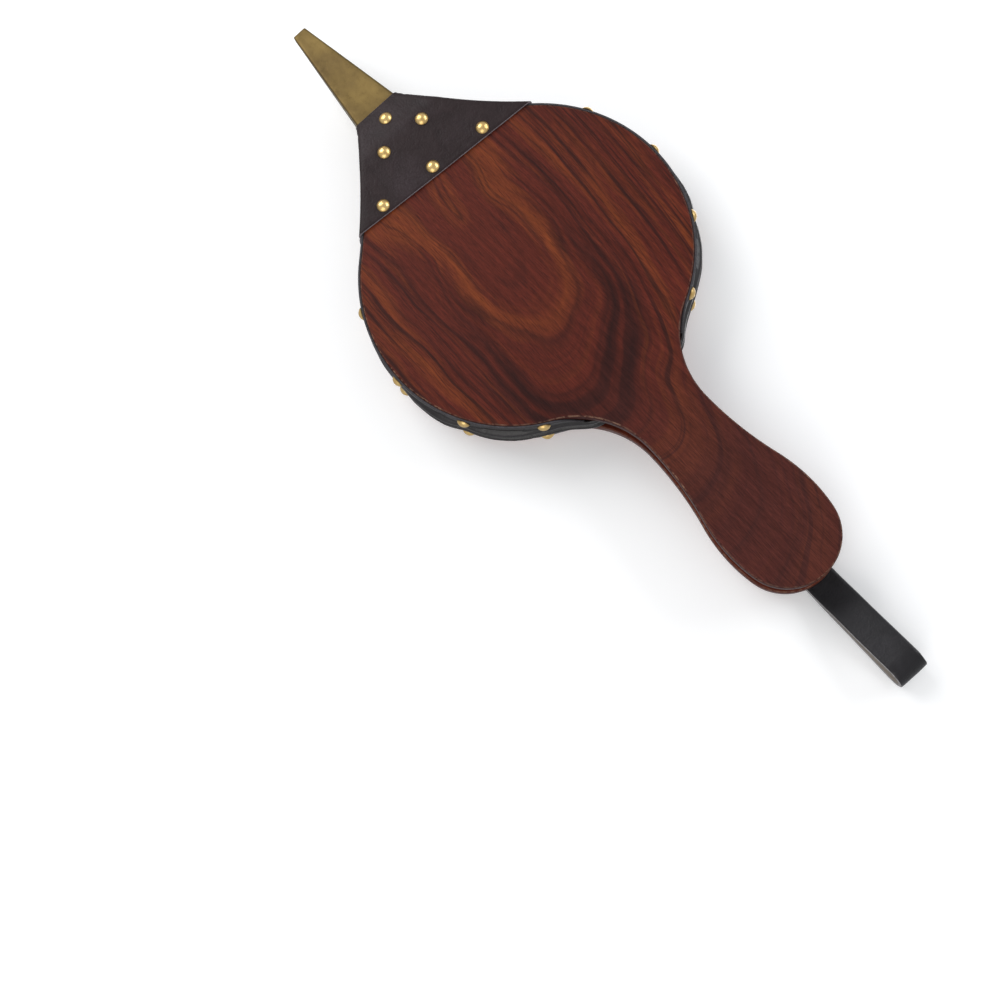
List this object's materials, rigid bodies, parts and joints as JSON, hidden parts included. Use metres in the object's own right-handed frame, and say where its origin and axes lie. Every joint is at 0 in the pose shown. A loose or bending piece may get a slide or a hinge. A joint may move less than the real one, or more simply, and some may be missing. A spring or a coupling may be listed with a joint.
{
  "type": "hand bellows",
  "caption": "Pear-shaped wooden hand bellows with folded metal nozzle, leather gusset and collar, domed studs, inlet flap valve and strap loop.",
  "frame": {"origin": "centre of the intake hole on the outer face of the back board", "axes": "+X towards the nozzle tip, +Y across the boards, +Z from the back board towards the front board"},
  "size_m": [0.5145, 0.1996, 0.0404],
  "materials": {
    "back_veneer": "satin",
    "front_veneer": "satin",
    "block_wood": "matte",
    "steel": "satin",
    "nozzle_metal": "satin",
    "brass": "polished",
    "collar_leather": "satin",
    "gusset_leather": "satin",
    "flap_leather": "matte",
    "strap_leather": "satin"
  },
  "bodies": {
    "base": {"back_board": "back_veneer", "nose_board": "front_veneer", "head_block": "block_wood", "block_nails": "steel", "nozzle": "nozzle_metal", "nozzle_pins": "brass", "collar": "collar_leather", "gusset": "gusset_leather", "valve_tacks": "brass", "collar_block_studs": "brass", "collar_side_studs": "brass", "back_edge_studs": "brass", "strap_stud": "brass"},
    "front": {"front_board": "front_veneer", "collar_board_studs": "brass", "front_edge_studs": "brass"},
    "valve": {"valve_flap": "flap_leather"},
    "hanger": {"strap": "strap_leather"}
  },
  "joints": [
    {"name": "board_opening", "type": "hinge", "parent": "base", "child": "front", "pos_m": [0.097, 0, 0.029], "axis": [0, 1, 0], "range_deg": [0, 24], "deforming": ["collar", "gusset"]},
    {"name": "valve_lift", "type": "hinge", "parent": "base", "child": "valve", "pos_m": [0.027, 0, 0.00815], "axis": [0, 1, 0], "range_deg": [0, 10]},
    {"name": "strap_swivel", "type": "hinge", "parent": "base", "child": "hanger", "pos_m": [-0.193, 0, 0], "axis": [0, 0, 1], "range_deg": [-30, 30]}
  ]
}
